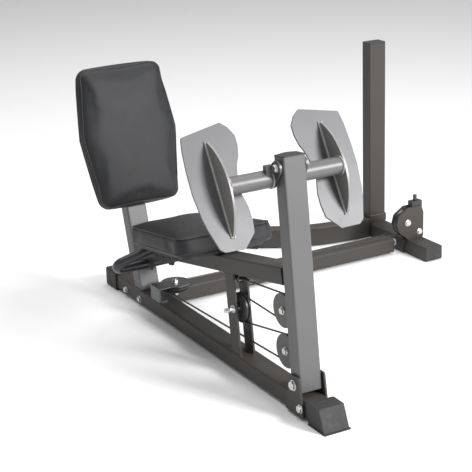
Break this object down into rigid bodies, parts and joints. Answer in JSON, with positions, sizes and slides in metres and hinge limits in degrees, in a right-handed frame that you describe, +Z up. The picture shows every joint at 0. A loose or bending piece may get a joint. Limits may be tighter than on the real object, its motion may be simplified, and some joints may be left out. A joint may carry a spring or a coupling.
{
  "type": "seated leg press station",
  "caption": "Seated leg press station for a multi gym: padded seat on a sliding rail, pivoting press arm with swinging foot plates, pulleys and cable, on a floor frame.",
  "frame": {"origin": "middle of the footprint's bounding box, on the floor", "axes": "+Z up, +X to the seated user's left (towards the gym's mast), +Y to the user's back, -Y towards the foot plates"},
  "size_m": [1.341, 1.4992, 0.8054],
  "materials": {
    "frame_paint": "satin dark bronze grey powder coat",
    "silver_paint": "satin silver grey powder coat",
    "plate_paint": "satin light silver grey powder coat",
    "link_paint": "satin mid grey powder coat",
    "bracket_steel": "zinc plated steel",
    "bolt_chrome": "bright zinc plated fasteners",
    "rubber_black": "moulded black rubber",
    "cap_black": "moulded black plastic",
    "pulley_black": "moulded black nylon",
    "pin_black": "black plastic knob and threaded sleeve",
    "board_wood": "plywood painted black",
    "pad_vinyl": "black vinyl upholstery, soft satin",
    "cable_black": "black nylon coated steel cable"
  },
  "bodies": {
    "frame": {"base_tube": "frame_paint", "rear_foot_cap": "rubber_black", "front_foot_cap": "rubber_black", "connecting_tube": "frame_paint", "gym_base_tube": "frame_paint", "gym_tube_cap": "cap_black", "mast": "frame_paint", "mast_cap": "cap_black", "tower_foot_tube": "frame_paint", "tower_foot_cap": "rubber_black", "pivot_plate_right": "frame_paint", "pivot_plate_left": "frame_paint", "pivot_bolt": "bolt_chrome", "back_post": "silver_paint", "post_cap": "cap_black", "upright_plate_right": "frame_paint", "upright_plate_left": "frame_paint", "seat_rail": "frame_paint", "rail_end_cap": "cap_black", "rail_bumper": "rubber_black", "cable_anchor": "bracket_steel", "floor_pulley_bracket": "bracket_steel", "tower_pulley_bracket": "frame_paint", "pulley_bolts": "bolt_chrome", "frame_bolts": "bolt_chrome", "back_board": "board_wood", "back_pad": "pad_vinyl", "cable_front_runs": "cable_black", "cable_rear_run": "cable_black"},
    "press_arm": {"arm_tube": "silver_paint", "arm_cap": "cap_black", "arm_bushings": "rubber_black", "pulley_cheeks": "link_paint", "cheek_bolts": "bolt_chrome", "foot_pivot_bolt": "bolt_chrome", "cable_arm_wraps": "cable_black"},
    "foot_plates": {"foot_link_right": "link_paint", "foot_link_left": "link_paint", "foot_tube_right": "silver_paint", "foot_tube_left": "silver_paint", "tie_rod": "link_paint", "swing_stop": "link_paint", "foot_plate_right": "plate_paint", "foot_plate_left": "plate_paint", "foot_rib_right": "plate_paint", "foot_rib_left": "plate_paint"},
    "seat_carriage": {"carriage_plate_right": "frame_paint", "carriage_plate_left": "frame_paint", "seat_board": "board_wood", "seat_pad": "pad_vinyl", "handle_bar": "link_paint", "pull_pin_housing": "pin_black"},
    "pull_pin": {"pull_pin": "pin_black"},
    "upper_pulley": {"upper_pulley": "pulley_black"},
    "lower_pulley": {"lower_pulley": "pulley_black"},
    "mid_pulley": {"mid_pulley": "pulley_black"},
    "floor_pulley": {"floor_pulley": "pulley_black"},
    "tower_pulley": {"tower_pulley": "pulley_black"}
  },
  "joints": [
    {"name": "arm_pivot", "type": "hinge", "parent": "frame", "child": "press_arm", "pos_m": [-0.4085, -0.5931, 0.092], "axis": [1, 0, 0], "range_deg": [0, 35], "deforming": ["cable_front_runs"]},
    {"name": "foot_pivot", "type": "hinge", "parent": "press_arm", "child": "foot_plates", "pos_m": [-0.4085, -0.52923, 0.69965], "axis": [1, 0, 0], "range_deg": [0, 25]},
    {"name": "seat_slide", "type": "slide", "parent": "frame", "child": "seat_carriage", "axis": [0, 0.9826, -0.1857], "range_m": [-0.16, 0.04]},
    {"name": "pin_pull", "type": "slide", "parent": "seat_carriage", "child": "pull_pin", "axis": [-1, 0, 0], "range_m": [0, 0.008], "stiffness_N_per_m": 400, "springref_m": -0.004},
    {"name": "upper_pulley_spin", "type": "hinge", "parent": "press_arm", "child": "upper_pulley", "pos_m": [-0.4085, -0.50026, 0.27691], "axis": [1, 0, 0], "range_deg": [-200, 0]},
    {"name": "mid_pulley_spin", "type": "hinge", "parent": "frame", "child": "mid_pulley", "pos_m": [-0.4145, -0.2476, 0.202], "axis": [1, 0, 0], "range_deg": [0, 327]},
    {"name": "lower_pulley_spin", "type": "hinge", "parent": "press_arm", "child": "lower_pulley", "pos_m": [-0.4085, -0.51264, 0.15916], "axis": [1, 0, 0], "range_deg": [-440, 0]},
    {"name": "floor_pulley_spin", "type": "hinge", "parent": "frame", "child": "floor_pulley", "pos_m": [-0.3653, 0.2804, 0.09], "axis": [0, 0, 1], "range_deg": [0, 475]},
    {"name": "tower_pulley_spin", "type": "hinge", "parent": "frame", "child": "tower_pulley", "pos_m": [0.5955, 0.3236, 0.12], "axis": [0, 1, 0], "range_deg": [0, 475]}
  ],
  "couplings": [
    {"joint": "upper_pulley_spin", "follows": "arm_pivot", "ratio": -5.7},
    {"joint": "mid_pulley_spin", "follows": "arm_pivot", "ratio": 9.3},
    {"joint": "lower_pulley_spin", "follows": "arm_pivot", "ratio": -12.5},
    {"joint": "floor_pulley_spin", "follows": "arm_pivot", "ratio": 13.5},
    {"joint": "tower_pulley_spin", "follows": "arm_pivot", "ratio": 13.5}
  ]
}
